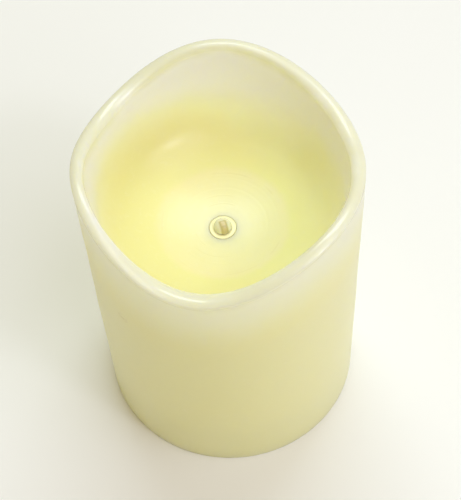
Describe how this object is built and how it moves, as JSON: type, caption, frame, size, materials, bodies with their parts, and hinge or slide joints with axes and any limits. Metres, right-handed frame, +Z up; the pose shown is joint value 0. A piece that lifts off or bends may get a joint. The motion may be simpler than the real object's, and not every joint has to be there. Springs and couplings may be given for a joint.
{
  "type": "flameless led candle",
  "caption": "Hollow wax pillar candle with a wavy melted rim, a small LED in its recess, a battery tray with a hinged door, and a slide switch underneath.",
  "frame": {"origin": "middle of the face that the candle stands on", "axes": "+Z up along the pillar's axis; -Y is the front; the switch is at +Y underneath and the battery door's finger notch at +X"},
  "size_m": [0.0769, 0.0769, 0.108],
  "materials": {
    "ivory_wax": "satin, translucent",
    "white_core": "satin",
    "base_plastic": "fine moulded texture",
    "door_foam": "open-cell foam",
    "clear_glue": "glossy, cloudy",
    "screw_zinc": "zinc plated",
    "switch_steel": "tin plated",
    "switch_black": "satin",
    "pin_silver": "plated",
    "wiper_bronze": "satin",
    "contact_nickel": "nickel plated",
    "cell_steel": "nickel plated",
    "cell_jacket": "glossy film",
    "board_green": "solder mask",
    "chip_black": "moulded",
    "capacitor_sleeve": "shrink sleeve",
    "resistor_body": "glazed",
    "crystal_can": "drawn can",
    "clear_epoxy": "water clear",
    "lamp_leadframe": "silver plated",
    "lamp_resin": "yellow resin",
    "lamp_die": "polished",
    "wire_red": "vinyl",
    "wire_black": "vinyl"
  },
  "bodies": {
    "candle": {"base_plate": "base_plastic", "base_screws": "screw_zinc", "battery_can_1": "cell_steel", "battery_can_2": "cell_steel", "battery_can_3": "cell_steel", "battery_jacket_1": "cell_jacket", "battery_jacket_2": "cell_jacket", "battery_jacket_3": "cell_jacket", "board_capacitor": "capacitor_sleeve", "board_resistors": "resistor_body", "board_screws": "screw_zinc", "contact_spring_1": "contact_nickel", "contact_spring_2": "contact_nickel", "contact_spring_3": "contact_nickel", "control_board": "board_green", "core_cup": "white_core", "glue_beads": "clear_glue", "led_anode": "lamp_leadframe", "led_board": "board_green", "led_board_screws": "screw_zinc", "led_cathode": "lamp_leadframe", "led_chip": "lamp_die", "led_lens": "clear_epoxy", "led_phosphor": "lamp_resin", "negative_tab": "contact_nickel", "positive_tab": "contact_nickel", "quartz_crystal": "crystal_can", "series_link_left": "contact_nickel", "series_link_right": "contact_nickel", "switch_base": "switch_black", "switch_can": "switch_steel", "switch_pins": "pin_silver", "timer_chip": "chip_black", "wax_pillar": "ivory_wax", "wire_battery_black": "wire_black", "wire_battery_red": "wire_red", "wire_led_black": "wire_black", "wire_led_red": "wire_red"},
    "door": {"battery_door": "base_plastic", "door_pad": "door_foam"},
    "switch": {"switch_knob": "switch_black", "switch_wiper": "wiper_bronze"}
  },
  "joints": [
    {"name": "door_hinge", "type": "hinge", "parent": "candle", "child": "door", "pos_m": [-0.0242, 0, 0.002], "axis": [0, 1, 0], "range_deg": [0, 100]},
    {"name": "switch_slide", "type": "slide", "parent": "candle", "child": "switch", "axis": [1, 0, 0], "range_m": [0, 0.002]}
  ]
}
